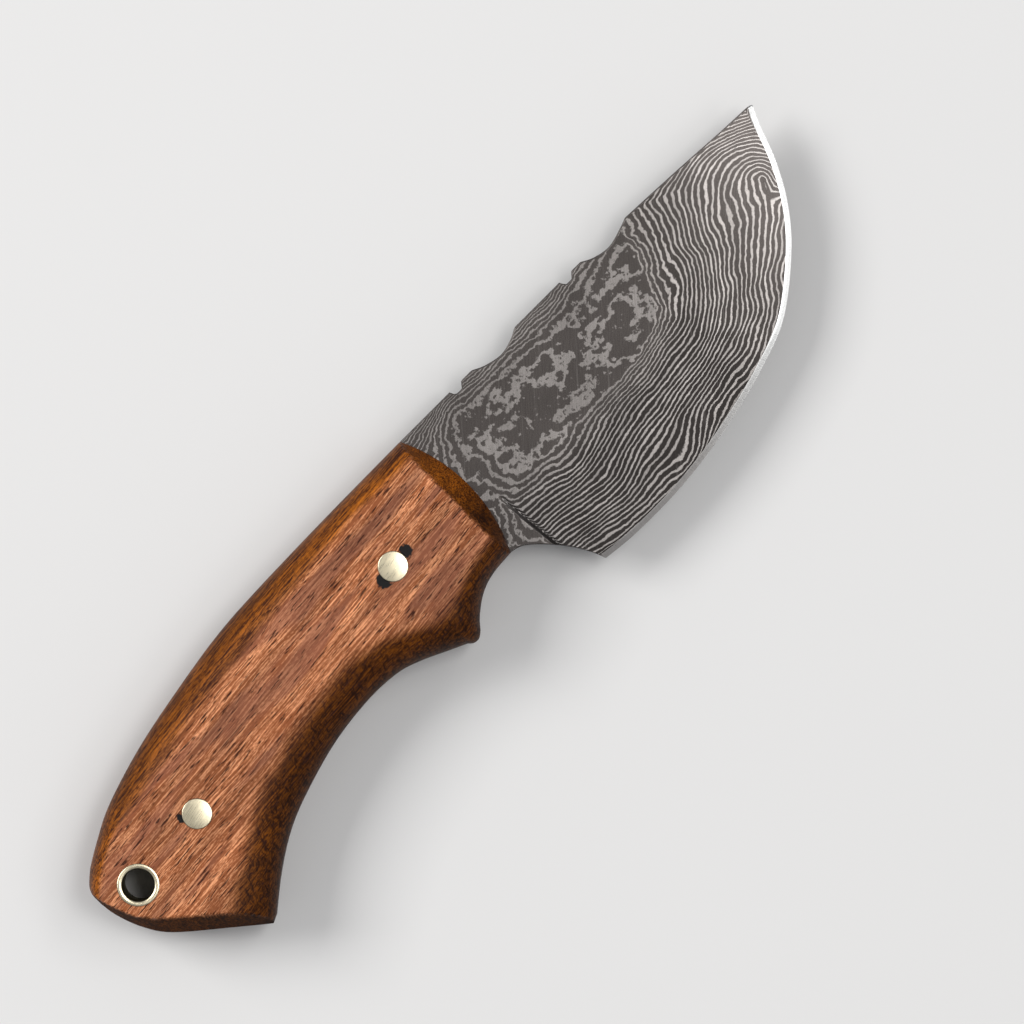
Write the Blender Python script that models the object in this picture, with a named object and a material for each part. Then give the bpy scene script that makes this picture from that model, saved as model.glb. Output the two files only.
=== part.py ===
"""A full-tang fixed-blade skinning knife, lying on its side.

The frame: +X runs to the blade's tip along the back of the blade, +Y is the
back (spine) side, +Z is the show side. The origin is under the middle of the
knife's box, on the surface that it lies on. Outlines are written in
millimetres and turned to metres by the MM factor.
"""

import math

import bmesh
import bpy
from mathutils import Vector

MM = 0.001

# Driving dimensions, in metres
STEEL = 4.0 * MM
SCALE = 8.3 * MM
GLUE = 0.2 * MM
GLUE_GAP = 0.1 * MM
FIT_GAP = 0.3 * MM
PIN_RADIUS = 3.0 * MM
TUBE_RADIUS = 4.15 * MM
TUBE_BORE_RADIUS = 3.2 * MM
EDGE_HALF = 0.12 * MM
SCALE_WALL = 1.6 * MM
FOOT_STEP = 0.6 * MM

# Heights that follow from them
SEAM = GLUE + 2 * GLUE_GAP
MIDDLE = SCALE + SEAM + STEEL / 2
THICKNESS = 2 * MIDDLE
SCALE_BASE = STEEL / 2 + SEAM
FOOT_HEIGHT = SCALE_BASE + FOOT_STEP

# How finely the curves and the round pieces are cut
SPAN_STEPS = 3
ROUND_SIDES = 32
LINE_STEPS = 4
SHOULDER_STEPS = 6
FOOT_STEPS = 12

# How far apart a scale's sections stand, in millimetres: anywhere, and at the guard
STATION_STEP = 3.3
GUARD_STEP = 1.1
GUARD_FROM = -24.0
GUARD_TO = -7.0

# How far the cutters run past what they cut, or the height they run up to, in metres
GRIND_PAST = 2.0 * MM
GRIND_FAR = 8.0 * MM
DRILL_PAST = 1.0 * MM
TOP_PAST = MIDDLE + 1.0 * MM

# How far the cutters and the loft run past the handle's outline, in millimetres
CUT_REACH = 22.0
CUT_AWAY = 45.0
FOOT_RUN_BACK = 1.5
FOOT_RUN_OUT = 4.0
LOFT_START = -103.0
LOFT_END = 13.0
BELLY_RUN_OUT = (-104.0, -42.0)
SPINE_RUN_OUT = (-104.0, 2.5)

# Points of an outline closer than this, in millimetres, are one point
SAME_POINT = 0.01

# Hole centres, in millimetres
FRONT_PIN = (-13.15, 8.25)
REAR_PIN = (-74.0, 1.2)
LANYARD_TUBE = (-91.85, -0.5)

# Outlines, in millimetres
CHOIL = [(5.0, -6.0), (7.7, -6.9), (11.3, -10.2), (14.2, -13.9), (16.3, -17.5)]
HEEL = (17.2, -19.9)
EDGE = [
    HEEL,
    (24.5, -20.6),
    (34.7, -20.6),
    (44.7, -19.7),
    (54.7, -17.9),
    (64.7, -15.3),
    (74.7, -11.4),
    (84.7, -3.6),
    (91.0, 3.6),
    (95.4, 11.3),
    (98.2, 18.6),
    (99.95, 22.4),
]
TIP_SPINE = [(99.95, 22.4), (98.7, 22.8), (92.0, 23.1), (80.0, 23.8), (66.7, 24.4)]
REAR_SCALLOP = [(66.7, 24.4), (64.6, 23.6), (60.6, 22.6), (57.0, 23.2), (54.5, 24.45)]
REAR_NOTCH = [(52.0, 24.45), (51.0, 23.3), (49.4, 23.3), (48.75, 24.5)]
FRONT_SCALLOP = [(36.4, 24.5), (34.0, 23.3), (30.8, 22.6), (27.2, 23.3), (24.6, 24.5)]
FRONT_NOTCH = [(21.7, 24.5), (20.7, 23.3), (19.1, 23.3), (18.5, 24.5)]
FOOT_SPINE = (4.75, 24.5)
FOOT_CHOIL = (5.0, -6.0)
FOOT_BULGE = 3.55
HANDLE_SPINE = [
    (4.75, 24.5),
    (-15.0, 24.3),
    (-35.0, 23.8),
    (-47.0, 23.0),
    (-60.0, 20.95),
    (-73.0, 18.3),
    (-85.0, 14.6),
    (-92.0, 11.1),
    (-96.5, 8.4),
]
SPINE_CORNER = [(-96.5, 8.4), (-99.0, 6.1), (-99.8, 4.2), (-99.9, 2.0)]
BUTT = [
    (-99.9, 2.0),
    (-99.3, -1.8),
    (-97.3, -7.0),
    (-93.9, -11.8),
    (-85.3, -19.1),
    (-80.2, -23.3),
]
BUTT_CORNER = (-78.8, -24.4)
BELLY = [
    (-77.2, -23.6),
    (-70.2, -18.1),
    (-63.0, -13.7),
    (-55.0, -10.6),
    (-45.0, -7.9),
    (-35.0, -6.7),
    (-27.5, -7.0),
    (-22.5, -8.5),
    (-17.5, -10.8),
    (-13.6, -12.6),
]
GUARD = [(-13.6, -12.6), (-12.6, -13.4), (-11.3, -13.5), (-10.1, -12.7)]
GUARD_FRONT = [(-10.1, -12.7), (-8.1, -10.5), (-4.5, -7.9), (-0.5, -6.5), (5.0, -6.0)]

# Where the flat top of a scale ends, on the spine side and the belly side
SPINE_SHOULDER = [
    (14.0, 19.5),
    (4.7, 19.4),
    (-20.0, 18.7),
    (-45.0, 15.9),
    (-65.0, 13.0),
    (-80.0, 9.9),
    (-92.0, 7.0),
    (-106.0, -3.0),
]
BELLY_SHOULDER = [
    (14.0, 0.0),
    (4.7, -0.2),
    (-7.2, -2.6),
    (-15.2, -3.4),
    (-20.5, -1.2),
    (-26.0, 1.6),
    (-35.0, 2.7),
    (-45.0, 1.8),
    (-55.0, -0.7),
    (-65.0, -4.0),
    (-80.0, -12.5),
    (-106.0, -29.0),
]

# The crisp ridge where the top of a scale meets its end faces, and the foot that the
# butt face drops to
FRONT_RIDGE_X = 4.15
BUTT_RIDGE = [
    (-99.5, 8.0),
    (-99.3, 3.3),
    (-98.2, -0.5),
    (-96.3, -4.8),
    (-92.4, -9.0),
    (-85.2, -15.2),
    (-79.5, -20.4),
    (-74.0, -26.0),
]
BUTT_REACH = [
    (-99.9, 9.0),
    (-99.9, 2.0),
    (-99.3, -1.8),
    (-97.3, -7.0),
    (-93.9, -11.8),
    (-85.3, -19.1),
    (-80.2, -23.3),
    (-76.0, -27.2),
]

# Where the bevel leaves the flat, with the blade's half thickness there, and the
# matching points just outside the edge. Ahead of the flat both run on to the tip.
GRIND_TOP = [
    (10.4, 3.3, 2.0),
    (30.0, 3.3, 2.0),
    (46.0, 3.3, 2.0),
    (54.0, 4.4, 2.0),
    (59.0, 8.4, 2.0),
    (62.0, 15.4, 2.0),
    (65.5, 26.0, 2.0),
    (78.0, 26.0, 1.55),
    (90.0, 26.0, 1.0),
    (102.0, 26.0, 0.5),
]
GRIND_BOTTOM = [
    (11.9, -22.5),
    (30.0, -22.5),
    (46.0, -21.3),
    (59.0, -18.3),
    (71.0, -14.5),
    (84.0, -5.8),
    (93.5, 4.0),
    (97.6, 11.3),
    (100.5, 18.5),
    (103.5, 24.0),
]

STEEL_DARK = (0.075, 0.07, 0.07, 1.0)
WOOD_BROWN = (0.24, 0.085, 0.03, 1.0)
GLUE_BLACK = (0.012, 0.011, 0.01, 1.0)
BRASS_PALE = (0.78, 0.68, 0.42, 1.0)


def clear_scene():
    """Start from an empty scene."""
    for old in list(bpy.data.objects):
        bpy.data.objects.remove(old, do_unlink=True)


def material(name, colour, roughness, metallic):
    """One Principled material."""
    made = bpy.data.materials.new(name)
    made.use_nodes = True
    shader = made.node_tree.nodes["Principled BSDF"]
    shader.inputs["Base Color"].default_value = colour
    shader.inputs["Roughness"].default_value = roughness
    shader.inputs["Metallic"].default_value = metallic
    return made


def curve_through(points, steps=SPAN_STEPS):
    """A smooth curve through the points, as a list with its first and last one."""
    ends = [points[0], *points, points[-1]]
    along = []
    for a, b, c, d in zip(ends, ends[1:], ends[2:], ends[3:]):
        for step in range(steps):
            t = step / steps
            along.append(tuple(catmull_rom(t, *values) for values in zip(a, b, c, d)))
    along.append(tuple(points[-1]))
    return along


def catmull_rom(t, a, b, c, d):
    """One coordinate on the curve between b and c."""
    cubic = 3 * b - a - 3 * c + d
    square = 2 * a - 5 * b + 4 * c - d
    return b + 0.5 * t * (c - a + t * (square + t * cubic))


def height_at(points, x):
    """The y of a smooth line at this x. The line runs one way along X."""
    line = sorted(curve_through(points, LINE_STEPS))
    for (x0, y0), (x1, y1) in zip(line, line[1:]):
        if x0 < x1 and x0 <= x <= x1:
            return y0 + (y1 - y0) * (x - x0) / (x1 - x0)
    nearest = line[0] if x < line[0][0] else line[-1]
    return nearest[1]


def foot_arc():
    """The bowed front foot of the handle, from the spine to the choil."""
    middle = (Vector(FOOT_SPINE) + Vector(FOOT_CHOIL)) / 2
    half = (Vector(FOOT_SPINE) - Vector(FOOT_CHOIL)).length / 2
    radius = (half**2 + FOOT_BULGE**2) / (2 * FOOT_BULGE)
    centre_x = middle.x + FOOT_BULGE - radius
    reach = math.asin(half / radius)
    angles = [reach - 2 * reach * k / FOOT_STEPS for k in range(FOOT_STEPS + 1)]
    return [
        (centre_x + radius * math.cos(a), middle.y + radius * math.sin(a))
        for a in angles
    ]


def joined(*runs):
    """Several runs of points as one outline, each shared end kept once."""
    outline = []
    for run in runs:
        for point in run:
            if not outline or (Vector(point) - Vector(outline[-1])).length > SAME_POINT:
                outline.append(tuple(point))
    if (Vector(outline[0]) - Vector(outline[-1])).length < SAME_POINT:
        outline.pop()
    return outline


def handle_back():
    """The handle's outline from the foot at the spine, round the butt, to the choil."""
    return joined(
        curve_through(HANDLE_SPINE),
        curve_through(SPINE_CORNER),
        curve_through(BUTT),
        [BUTT_CORNER],
        curve_through(BELLY),
        curve_through(GUARD),
        curve_through(GUARD_FRONT),
    )


def handle_outline():
    """The whole outline of the handle, closed by its front foot."""
    return joined(handle_back(), list(reversed(foot_arc())))


def knife_outline():
    """The outline of the blade and its full tang."""
    return joined(
        handle_back(),
        curve_through(CHOIL + [HEEL]),
        curve_through(EDGE),
        curve_through(TIP_SPINE),
        curve_through(REAR_SCALLOP),
        REAR_NOTCH,
        curve_through(FRONT_SCALLOP),
        FRONT_NOTCH,
    )


def finish_mesh(name, shape, finish=None, smooth_degrees=None):
    """Turn a bmesh into a named object in the scene."""
    bmesh.ops.recalc_face_normals(shape, faces=shape.faces)
    mesh = bpy.data.meshes.new(name)
    shape.to_mesh(mesh)
    shape.free()
    made = bpy.data.objects.new(name, mesh)
    bpy.context.collection.objects.link(made)
    if finish:
        mesh.materials.append(finish)
    if smooth_degrees:
        mesh.shade_smooth()
        mesh.set_sharp_from_angle(angle=math.radians(smooth_degrees))
    return made


def prism(name, outline, low, high, finish=None):
    """An outline in millimetres, extruded from one height to another."""
    shape = bmesh.new()
    corners = [shape.verts.new((x * MM, y * MM, low)) for x, y in outline]
    base = shape.faces.new(corners)
    grown = bmesh.ops.extrude_face_region(shape, geom=[base])
    lifted = [v for v in grown["geom"] if isinstance(v, bmesh.types.BMVert)]
    bmesh.ops.translate(shape, verts=lifted, vec=(0.0, 0.0, high - low))
    return finish_mesh(name, shape, finish)


def skin(shape, rings):
    """Faces between rings of corners in turn, and one across each end."""
    for one, other in zip(rings, rings[1:]):
        for k in range(len(one)):
            j = (k + 1) % len(one)
            shape.faces.new((one[k], one[j], other[j], other[k]))
    shape.faces.new(rings[0])
    shape.faces.new(rings[-1])


def between_rails(name, lower, upper):
    """A closed solid whose working face is ruled from one rail to another.

    Each rail is a list of pairs: a point of the face and the far point behind it.
    """
    shape = bmesh.new()
    rings = []
    for (near_low, far_low), (near_high, far_high) in zip(lower, upper):
        ring = (near_low, near_high, far_high, far_low)
        rings.append([shape.verts.new(point) for point in ring])
    skin(shape, rings)
    return finish_mesh(name, shape)


def round_bar(name, centre, radius, low, high, finish=None):
    """A round bar that stands on Z."""
    shape = bmesh.new()
    bmesh.ops.create_cone(
        shape,
        cap_ends=True,
        segments=ROUND_SIDES,
        radius1=radius,
        radius2=radius,
        depth=high - low,
    )
    place = (centre[0] * MM, centre[1] * MM, (low + high) / 2)
    bmesh.ops.translate(shape, verts=shape.verts, vec=place)
    return finish_mesh(name, shape, finish, smooth_degrees=40)


def cut(target, *cutters):
    """Take each cutter out of the target with an exact Boolean."""
    for cutter in cutters:
        cutter.hide_render = True
        cutter.display_type = "WIRE"
        boolean = target.modifiers.new(cutter.name, "BOOLEAN")
        boolean.operation = "DIFFERENCE"
        boolean.solver = "EXACT"
        boolean.object = cutter


def mirrored(point, side):
    """A point of the show side (side 1), or its mirror image below (side -1)."""
    x, y, z = point
    return (x, y, MIDDLE + side * z)


def rail_pair(near, far, side):
    """A point of a cutter's working face and the far point behind it."""
    return (mirrored(near, side), mirrored(far, side))


def grind_cutter(side):
    """What grinding takes off one face of the blade, from the flat to the edge."""
    lower = []
    upper = []
    for top, bottom in zip(curve_through(GRIND_TOP), curve_through(GRIND_BOTTOM)):
        flat = Vector(top[:2]) * MM
        edge = Vector(bottom) * MM
        half = top[2] * MM
        run = flat - edge
        slope = (half - EDGE_HALF) / run.length
        along = run.normalized()
        below = edge - along * GRIND_PAST
        above = flat + along * GRIND_PAST
        below_z = EDGE_HALF - slope * GRIND_PAST
        above_z = half + slope * GRIND_PAST
        lower.append(rail_pair((*below, below_z), (*below, GRIND_FAR), side))
        upper.append(rail_pair((*above, above_z), (*above, GRIND_FAR), side))
    return between_rails(f"grind_cutter_{side}", lower, upper)


def make_blade(finish):
    """The blade with its full tang, ground on both faces."""
    low = MIDDLE - STEEL / 2
    high = MIDDLE + STEEL / 2
    blade = prism("blade", knife_outline(), low, high, finish)
    cut(blade, grind_cutter(1), grind_cutter(-1))
    return blade


def scale_section(x):
    """Points across one scale at this x, from the belly over the top to the spine."""
    belly = height_at(BELLY_SIDE, x)
    spine = height_at(SPINE_SIDE, x)
    belly_shoulder = height_at(BELLY_SHOULDER, x)
    spine_shoulder = height_at(SPINE_SHOULDER, x)
    wall = SCALE_BASE + SCALE_WALL
    rise = MIDDLE - wall
    section = [(belly, SCALE_BASE)]
    for step in range(SHOULDER_STEPS + 1):
        turn = math.pi / 2 * step / SHOULDER_STEPS
        y = belly + (belly_shoulder - belly) * (1 - math.cos(turn))
        section.append((y, wall + rise * math.sin(turn)))
    for step in range(SHOULDER_STEPS + 1):
        turn = math.pi / 2 * (1 - step / SHOULDER_STEPS)
        y = spine + (spine_shoulder - spine) * (1 - math.cos(turn))
        section.append((y, wall + rise * math.sin(turn)))
    section.append((spine, SCALE_BASE))
    return section


def stations():
    """Where the scale's sections stand along X, closer together at the guard."""
    x = LOFT_START
    places = []
    while x < LOFT_END:
        places.append(x)
        near_guard = GUARD_FROM < x < GUARD_TO
        x += GUARD_STEP if near_guard else STATION_STEP
    return [*places, LOFT_END]


def bowed_ends():
    """The foot arc, run on past the spine and the choil."""
    bowed = foot_arc()
    first = (bowed[0][0] - FOOT_RUN_BACK, bowed[0][1] + FOOT_RUN_OUT)
    last = (bowed[-1][0] - FOOT_RUN_BACK, bowed[-1][1] - FOOT_RUN_OUT)
    return [first, *bowed, last]


def front_cutter(side):
    """What shapes a scale's sloped front: a bowed foot below, a straight ridge above."""
    ridge_run = (TOP_PAST - FOOT_HEIGHT) / (MIDDLE - FOOT_HEIGHT)
    far_x = CUT_REACH * MM
    lower = []
    upper = []
    for x, y in bowed_ends():
        foot_x = x * MM
        foot_y = y * MM
        top_x = foot_x + (FRONT_RIDGE_X * MM - foot_x) * ridge_run
        foot = (foot_x, foot_y, FOOT_HEIGHT)
        top = (top_x, foot_y, TOP_PAST)
        lower.append(rail_pair(foot, (far_x, foot_y, FOOT_HEIGHT), side))
        upper.append(rail_pair(top, (far_x, foot_y, TOP_PAST), side))
    return between_rails(f"front_cutter_{side}", lower, upper)


def foot_cutter(side):
    """The short upright step at the foot of a scale's front."""
    bowed = bowed_ends()
    far = [(CUT_REACH, bowed[-1][1]), (CUT_REACH, bowed[0][1])]
    one = MIDDLE + side * STEEL / 2
    other = MIDDLE + side * (FOOT_HEIGHT + GLUE_GAP)
    outline = joined(bowed, far)
    return prism(f"foot_cutter_{side}", outline, min(one, other), max(one, other))


def butt_cutter(side):
    """What bevels a scale's butt, from the tang's outline up to a crisp ridge."""
    ridge_run = (TOP_PAST - FOOT_HEIGHT) / (MIDDLE - FOOT_HEIGHT)
    shape = bmesh.new()
    columns = []
    for foot, ridge in zip(curve_through(BUTT_REACH), curve_through(BUTT_RIDGE)):
        low = Vector(foot)
        high = low + (Vector(ridge) - low) * ridge_run
        away = Vector((-CUT_AWAY, -CUT_AWAY))
        ring = [
            (low, STEEL / 2),
            (low, FOOT_HEIGHT),
            (high, TOP_PAST),
            (high + away, TOP_PAST),
            (low + away, STEEL / 2),
        ]
        places = [mirrored((*(at * MM), z), side) for at, z in ring]
        columns.append([shape.verts.new(place) for place in places])
    skin(shape, columns)
    return finish_mesh(f"butt_cutter_{side}", shape)


def make_scale(name, side, finish):
    """One wooden scale, lofted along the handle and then cut at both ends."""
    shape = bmesh.new()
    rings = []
    for x in stations():
        places = [mirrored((x * MM, y * MM, z), side) for y, z in scale_section(x)]
        rings.append([shape.verts.new(place) for place in places])
    skin(shape, rings)
    scale = finish_mesh(name, shape, finish, smooth_degrees=35)
    cut(scale, front_cutter(side), foot_cutter(side), butt_cutter(side))
    return scale


def make_glue(name, side, finish):
    """The thin film of black glue under one scale."""
    near = MIDDLE + side * (STEEL / 2 + GLUE_GAP)
    far = MIDDLE + side * (STEEL / 2 + GLUE_GAP + GLUE)
    return prism(name, handle_outline(), min(near, far), max(near, far), finish)


BELLY_SIDE = joined(
    [(LOFT_END, FOOT_CHOIL[1])],
    list(reversed(curve_through(GUARD_FRONT))),
    list(reversed(curve_through(GUARD))),
    list(reversed(curve_through(BELLY))),
    [BUTT_CORNER, BELLY_RUN_OUT],
)
SPINE_SIDE = joined(
    [(LOFT_END, FOOT_SPINE[1])],
    curve_through(HANDLE_SPINE),
    curve_through(SPINE_CORNER[:3]),
    [SPINE_RUN_OUT],
)


def main():
    """Build the knife."""
    clear_scene()
    steel = material("layered_steel", STEEL_DARK, roughness=0.42, metallic=0.9)
    wood = material("oiled_wood", WOOD_BROWN, roughness=0.5, metallic=0.0)
    glue = material("black_glue", GLUE_BLACK, roughness=0.55, metallic=0.0)
    brass = material("brass", BRASS_PALE, roughness=0.28, metallic=1.0)

    blade = make_blade(steel)
    show_scale = make_scale("show_side_scale", 1, wood)
    back_scale = make_scale("back_side_scale", -1, wood)
    show_glue = make_glue("show_side_glue", 1, glue)
    back_glue = make_glue("back_side_glue", -1, glue)
    round_bar("front_pin", FRONT_PIN, PIN_RADIUS, 0.0, THICKNESS, brass)
    round_bar("rear_pin", REAR_PIN, PIN_RADIUS, 0.0, THICKNESS, brass)
    tube = round_bar("lanyard_tube", LANYARD_TUBE, TUBE_RADIUS, 0.0, THICKNESS, brass)

    drills = [
        ("front_pin_drill", FRONT_PIN, PIN_RADIUS + FIT_GAP),
        ("rear_pin_drill", REAR_PIN, PIN_RADIUS + FIT_GAP),
        ("tube_drill", LANYARD_TUBE, TUBE_RADIUS + FIT_GAP),
    ]
    for name, centre, radius in drills:
        drill = round_bar(name, centre, radius, -DRILL_PAST, THICKNESS + DRILL_PAST)
        for piece in (blade, show_scale, back_scale, show_glue, back_glue):
            cut(piece, drill)
    bore = round_bar(
        "tube_bore",
        LANYARD_TUBE,
        TUBE_BORE_RADIUS,
        -DRILL_PAST,
        THICKNESS + DRILL_PAST,
    )
    cut(tube, bore)


main()
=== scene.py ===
"""Looks for a full-tang skinning knife: layered steel, oiled wood and brass.

Run as a script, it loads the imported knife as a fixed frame, models the visible
pieces over it and sets up a plain studio. Outlines are in millimetres, in the
knife's own frame: +X along the back of the blade to the tip, +Y to the back.
"""

import math
from functools import reduce

import bmesh
import bpy
import numpy as np
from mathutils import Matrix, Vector
from mathutils.kdtree import KDTree


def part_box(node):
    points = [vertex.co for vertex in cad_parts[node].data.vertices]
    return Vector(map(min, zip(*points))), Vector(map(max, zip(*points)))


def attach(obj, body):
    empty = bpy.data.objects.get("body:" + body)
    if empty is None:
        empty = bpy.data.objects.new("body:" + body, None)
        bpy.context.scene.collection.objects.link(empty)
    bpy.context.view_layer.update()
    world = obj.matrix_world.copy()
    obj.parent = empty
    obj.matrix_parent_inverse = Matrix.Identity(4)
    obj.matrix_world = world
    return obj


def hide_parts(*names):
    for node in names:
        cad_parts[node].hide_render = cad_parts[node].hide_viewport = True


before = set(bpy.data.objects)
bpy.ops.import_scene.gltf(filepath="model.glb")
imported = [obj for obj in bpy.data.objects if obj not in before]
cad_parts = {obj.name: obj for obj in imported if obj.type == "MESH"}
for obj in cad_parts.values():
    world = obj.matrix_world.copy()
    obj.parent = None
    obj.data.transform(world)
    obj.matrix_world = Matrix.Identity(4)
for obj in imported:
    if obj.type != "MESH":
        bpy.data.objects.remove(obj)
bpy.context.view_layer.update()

bl_info = {
    "name": "Skinning Knife",
    "version": (1, 0, 0),
    "blender": (4, 5, 0),
    "location": "View3D > Sidebar > Knife",
    "description": "Models a layered-steel skinning knife and its studio",
    "category": "Add Mesh",
}

MM = 0.001

# The frame's own sizes, in millimetres
BLADE_LOW, BLADE_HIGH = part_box("blade")
HALF_STEEL = (BLADE_HIGH.z - BLADE_LOW.z) / 2 / MM
MIDDLE = (BLADE_HIGH.z + BLADE_LOW.z) / 2 / MM
HALF_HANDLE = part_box("show_side_scale")[1].z / MM - MIDDLE

# How the holes are drilled, in metres
DRILL_CLEARANCE = 0.02 * MM
DRILL_LENGTH = 90.0 * MM

# Outlines of the knife, from given points
FOOT_SPINE = (4.75, 24.5)
FOOT_CHOIL = (5.0, -6.0)
FOOT_BULGE = 3.55
CHOIL = [FOOT_CHOIL, (7.7, -6.9), (11.3, -10.2), (14.2, -13.9), (16.3, -17.5)]
HEEL = (17.2, -19.9)
EDGE = [
    HEEL, (24.5, -20.6), (34.7, -20.6), (44.7, -19.7), (54.7, -17.9), (64.7, -15.3),
    (74.7, -11.4), (84.7, -3.6), (91.0, 3.6), (95.4, 11.3), (98.2, 18.6), (99.95, 22.4),
]
TIP_SPINE = [(66.7, 24.4), (80.0, 23.8), (92.0, 23.1), (98.7, 22.8), (99.95, 22.4)]
REAR_SCALLOP = [(54.5, 24.45), (57.0, 23.2), (60.6, 22.6), (64.6, 23.6), (66.7, 24.4)]
REAR_NOTCH = [(48.75, 24.5), (49.4, 23.3), (51.0, 23.3), (52.0, 24.45)]
FRONT_SCALLOP = [(24.6, 24.5), (27.2, 23.3), (30.8, 22.6), (34.0, 23.3), (36.4, 24.5)]
FRONT_NOTCH = [(18.5, 24.5), (19.1, 23.3), (20.7, 23.3), (21.7, 24.5)]
HANDLE_SPINE = [
    FOOT_SPINE, (-15.0, 24.3), (-35.0, 23.8), (-47.0, 23.0), (-60.0, 20.95), (-73.0, 18.3),
    (-85.0, 14.6), (-92.0, 11.1), (-96.5, 8.4),
]
SPINE_CORNER = [(-96.5, 8.4), (-99.0, 6.1), (-99.8, 4.2), (-99.9, 2.0)]
BUTT = [
    (-99.9, 2.0), (-99.3, -1.8), (-97.3, -7.0), (-93.9, -11.8), (-85.3, -19.1), (-80.2, -23.3),
]
BUTT_CORNER = (-78.8, -24.4)
BELLY = [
    (-77.2, -23.6), (-70.2, -18.1), (-63.0, -13.7), (-55.0, -10.6), (-45.0, -7.9),
    (-35.0, -6.7), (-27.5, -7.0), (-22.5, -8.5), (-17.5, -10.8), (-13.6, -12.6),
]
GUARD = [(-13.6, -12.6), (-12.6, -13.4), (-11.3, -13.5), (-10.1, -12.7)]
GUARD_FRONT = [(-10.1, -12.7), (-8.1, -10.5), (-4.5, -7.9), (-0.5, -6.5), FOOT_CHOIL]

# Where the rounded sides of a scale run out into its flat top
SPINE_SHOULDER = [
    (14.0, 19.5), (4.7, 19.4), (-20.0, 18.7), (-45.0, 15.9), (-65.0, 13.0), (-80.0, 9.9),
    (-92.0, 7.0), (-106.0, -3.0),
]
BELLY_SHOULDER = [
    (14.0, 0.0), (4.7, -0.2), (-7.2, -2.6), (-15.2, -3.4), (-20.5, -1.2), (-26.0, 1.6),
    (-35.0, 2.7), (-45.0, 1.8), (-55.0, -0.7), (-65.0, -4.0), (-80.0, -12.5), (-106.0, -29.0),
]
BUTT_RIDGE = [
    (-99.5, 8.0), (-99.3, 3.3), (-98.2, -0.5), (-96.3, -4.8), (-92.4, -9.0), (-85.2, -15.2),
    (-79.5, -20.4), (-74.0, -26.0),
]
BUTT_FOOT = [(-99.9, 9.0), *BUTT, (-76.0, -27.2)]
FRONT_RIDGE_X = 4.15

# Where the bevel leaves the flat, with the half thickness there, and the line
# just outside the edge that it runs down to
GRIND_TOP = [
    (10.4, 3.3, 2.0), (30.0, 3.3, 2.0), (46.0, 3.3, 2.0), (54.0, 4.4, 2.0), (59.0, 8.4, 2.0),
    (62.0, 15.4, 2.0), (65.5, 26.0, 2.0), (78.0, 26.0, 1.55), (90.0, 26.0, 1.0),
    (102.0, 26.0, 0.5),
]
GRIND_BOTTOM = [
    (11.9, -22.5), (30.0, -22.5), (46.0, -21.3), (59.0, -18.3), (71.0, -14.5), (84.0, -5.8),
    (93.5, 4.0), (97.6, 11.3), (100.5, 18.5), (103.5, 24.0),
]
GRIND_FOOT_HALF = 0.12
HONED_SLOPE = 0.262

# The plunge: where its wall runs, how far it takes, and the groove at its foot
PLUNGE_TOP = (10.3, 3.3)
PLUNGE_FOOT = (11.9, -12.0)
PLUNGE_RUN = 0.9
GROOVE_AT = 0.75
GROOVE_HALF = 0.32
GROOVE_DEPTH = 0.09

# Columns of the grids as runs along X: from, to and number. They crowd together
# at the butt's corner, the guard, the plunge, the heel and the notches.
TANG_COLUMNS = [(-99.9, -97.0, 9), (-97.0, 5.0, 100), (-80.5, -77.0, 8), (-15.5, -8.5, 20)]
BLADE_COLUMNS = [(10.0, 13.0, 24), (15.8, 17.6, 9), (18.45, 18.6, 3), (48.7, 48.85, 3)]
SCALE_COLUMNS = [(-80.5, -77.0, 20), (-15.5, -8.5, 40)]
FAN_FROM_X = 50.0
BOW_FROM_X = -3.0

# The edge line that gaps are measured to: how many points it has, how far one
# counts from the next, and a gap for places that are out of its reach
EDGE_POINTS = 1600
EDGE_STEP = 0.06
FAR = 99.0

# How deep below the flat a face counts as flat, and as bevel
FLAT_DIP = 0.03
BEVEL_DIP = 0.45

# How forging moved the layers: a place, its reach, the height and the turn of each
# hollow, then the arches' place, direction and rate
LAYER_WARPS = [
    ((28.0, -6.0), (7.0, 60.0), 0.13, 0.0),
    ((48.0, -6.0), (10.0, 60.0), -0.15, 0.0),
    ((42.0, -18.5), (8.0, 5.5), 0.27, 12.0),
    ((66.0, 8.0), (9.0, 7.0), 0.16, 50.0),
]
TIP_ARCHES = ((91.2, 10.5), 62.0, 0.085)
ROLLED_BACK_Y = 17.5
SUNK_TANG_X = 16.0

# Directions of the marks in radians, and of the wood's grain in degrees
BLADE_BRUSHING = math.radians(-48.0)
BRASS_BRUSHING = math.radians(-12.0)
GRAIN_TURN = 5.0

# Dabs of filler: the pin beside each, the way from its middle, and the reach
FILLER_DABS = [
    ("front_pin", (-3.3, -0.8), (1.5, 1.7)),
    ("front_pin", (3.9, 0.4), (1.3, 1.5)),
    ("rear_pin", (-2.8, 1.5), (0.8, 1.1)),
]


# ---------------- settings


def length_setting(name, description, default):
    """A length of the knife, in metres, as a panel setting."""
    return bpy.props.FloatProperty(
        name=name, description=description, default=default, unit="LENGTH", precision=5
    )


def colour_setting(name, description, default):
    """A colour as a panel setting."""
    return bpy.props.FloatVectorProperty(
        name=name,
        description=description,
        default=default,
        size=4,
        min=0.0,
        max=1.0,
        subtype="COLOR",
    )


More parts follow.
